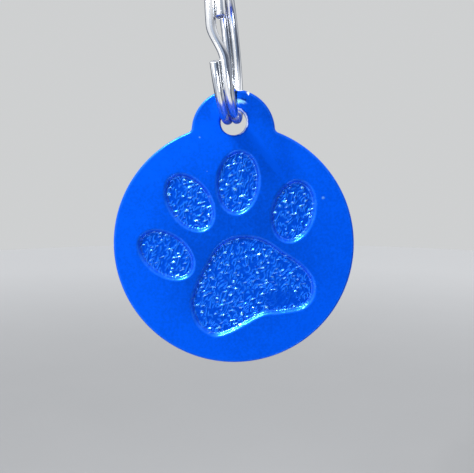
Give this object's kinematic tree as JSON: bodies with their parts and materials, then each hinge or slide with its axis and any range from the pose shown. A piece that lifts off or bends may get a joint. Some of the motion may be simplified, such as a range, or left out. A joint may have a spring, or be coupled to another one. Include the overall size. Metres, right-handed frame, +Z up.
{
  "type": "pet id tag",
  "caption": "Round blue pet identity tag with an ear, a sunk paw print on its face and a bare back, hung on a split ring that threads onto a collar.",
  "frame": {"origin": "the point at the top of the split ring's eye where a collar's link bears", "axes": "+Z up, the face with the paw print towards -Y, +X to the right of someone who looks at that face"},
  "size_m": [0.032, 0.02, 0.052],
  "materials": {
    "blue_coat": "satin royal blue coat on metal, slightly dimpled, darker and crinkled on the sunk floor, chipped and rubbed at the ear",
    "ring_steel": "bright nickel-plated spring wire with light scuffs"
  },
  "bodies": {
    "ring": {"split_ring": "ring_steel"},
    "tag": {"tag_blank": "blue_coat"}
  },
  "joints": [
    {"name": "tag_swing", "type": "hinge", "parent": "ring", "child": "tag", "pos_m": [0.00177, -0.00011, -0.01832], "axis": [0, 1, 0], "range_deg": [-110, 110]}
  ]
}
